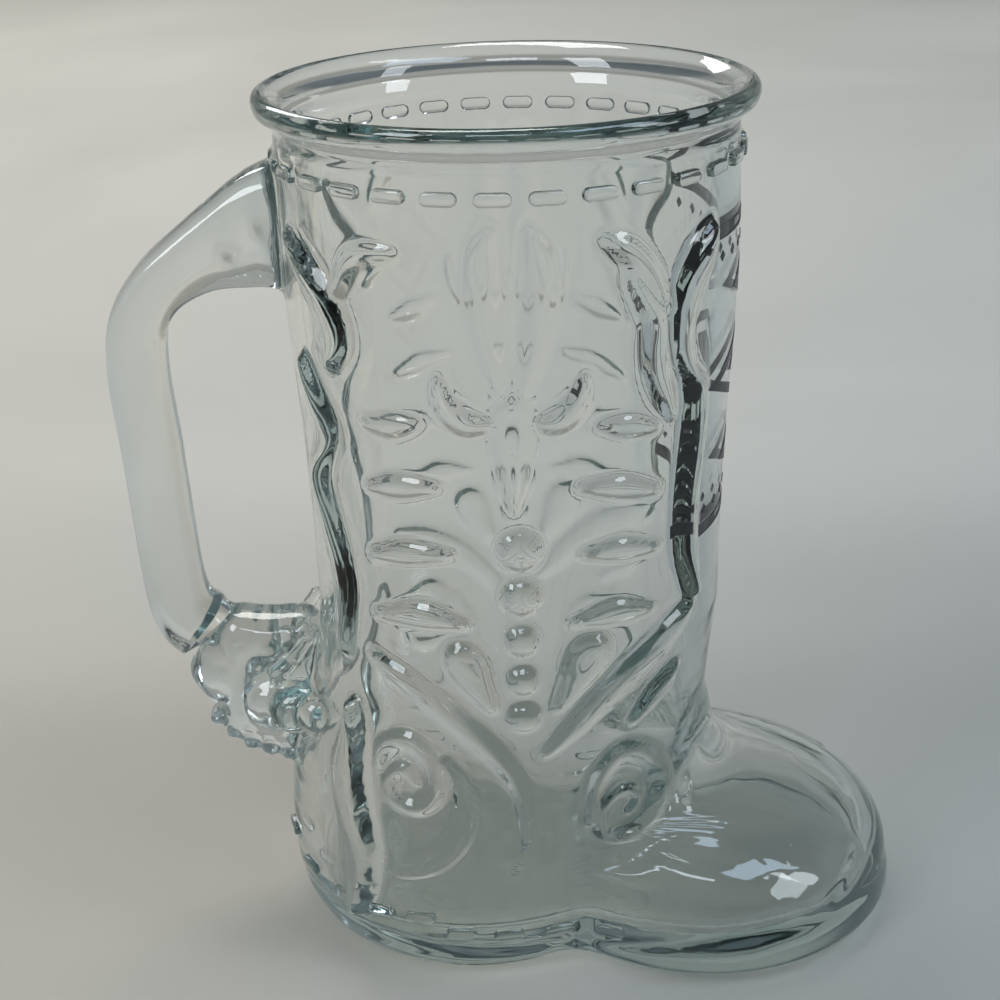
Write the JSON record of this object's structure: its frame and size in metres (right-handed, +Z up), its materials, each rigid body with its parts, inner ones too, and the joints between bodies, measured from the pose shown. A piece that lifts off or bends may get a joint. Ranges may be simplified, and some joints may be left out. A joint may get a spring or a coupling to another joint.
{
  "type": "boot shaped beer glass",
  "caption": "Clear glass beer mug shaped like a western boot, with a back handle, a rolled lip and raised stitch, leaf and scroll ornament.",
  "frame": {"origin": "on the leg's axis, in the plane that the heel and sole stand on", "axes": "+Z up along the leg, +X towards the toe, -X towards the handle, +Y to the boot's left flank"},
  "size_m": [0.1373, 0.082, 0.152],
  "materials": {
    "clear_glass": "clear soda-lime glass with a faint blue-green tint, fire polished",
    "black_enamel": "thin fired black enamel print, satin"
  },
  "bodies": {
    "root": {"lip": "clear_glass", "leg": "clear_glass", "foot": "clear_glass", "heel_seat": "clear_glass", "sole_seat": "clear_glass", "grip": "clear_glass", "upper_root": "clear_glass", "lower_root": "clear_glass", "root_beads": "clear_glass", "leg_stitches": "clear_glass", "welt_stitches": "clear_glass", "side_piping": "clear_glass", "plume": "clear_glass", "leaf_tips": "clear_glass", "rib_leaves": "clear_glass", "studs": "clear_glass", "gems": "clear_glass", "chevron_bars": "clear_glass", "scrolls": "clear_glass", "toe_flames": "clear_glass", "front_print": "black_enamel"}
  },
  "joints": []
}
